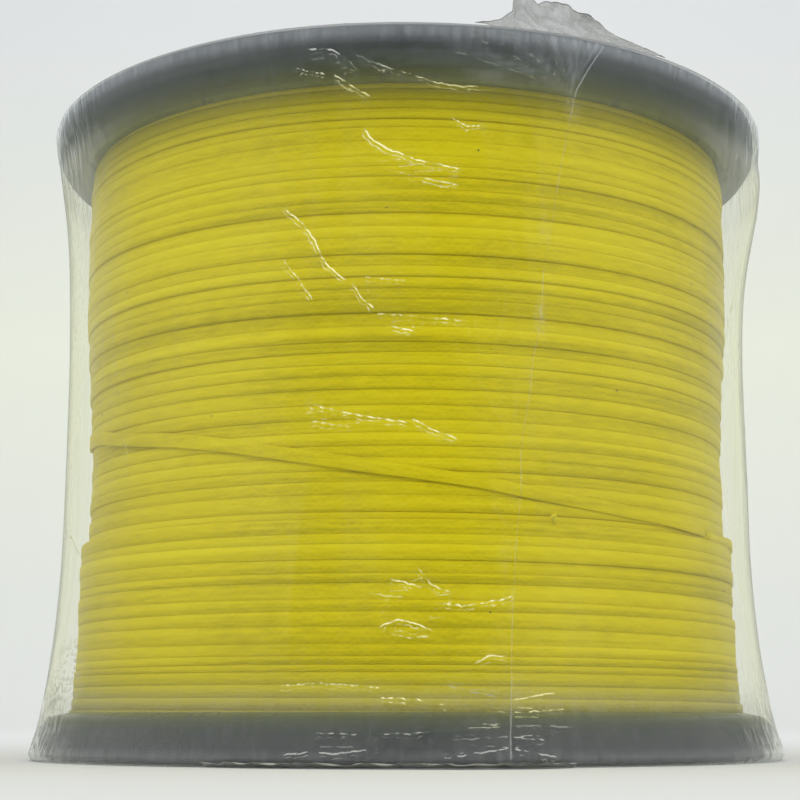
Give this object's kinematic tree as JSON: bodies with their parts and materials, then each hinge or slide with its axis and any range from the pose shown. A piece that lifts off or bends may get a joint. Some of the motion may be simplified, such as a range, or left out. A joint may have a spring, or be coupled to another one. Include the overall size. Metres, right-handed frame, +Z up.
{
  "type": "fishing line spool",
  "caption": "Bulk spool of braided fishing line, wound between two dark plastic flanges and sealed in clear shrink film, standing on one flange.",
  "frame": {"origin": "on the spool's axis, at the surface that the spool stands on", "axes": "+Z up along the spool's axis, through the spindle bore; -Y is the front, the side of the film's front seam; +X is to the right seen from the front"},
  "size_m": [0.1226, 0.132, 0.1134],
  "materials": {
    "flange_plastic": "dark grey moulded polystyrene, satin",
    "core_card": "spiral-wound card tube",
    "masking_tape": "creped paper tape",
    "braided_line": "hi-vis yellow braid, close wound",
    "clear_film": "clear shrink film, glossy and faintly hazy",
    "welded_film": "melted bead of clear film"
  },
  "bodies": {
    "root": {"lower_flange": "flange_plastic", "upper_flange": "flange_plastic", "core_tube": "core_card", "line_start_tape": "masking_tape", "line_inner_winding": "braided_line", "line_outer_winding": "braided_line", "line_last_winding": "braided_line", "line_crossing_strand": "braided_line", "line_end": "braided_line", "shrink_film": "clear_film", "front_film_seam": "welded_film", "front_upper_film_ear": "clear_film", "front_lower_film_flap": "clear_film", "rear_film_seam": "welded_film", "rear_upper_film_ear": "clear_film", "rear_lower_film_flap": "clear_film"}
  },
  "joints": []
}
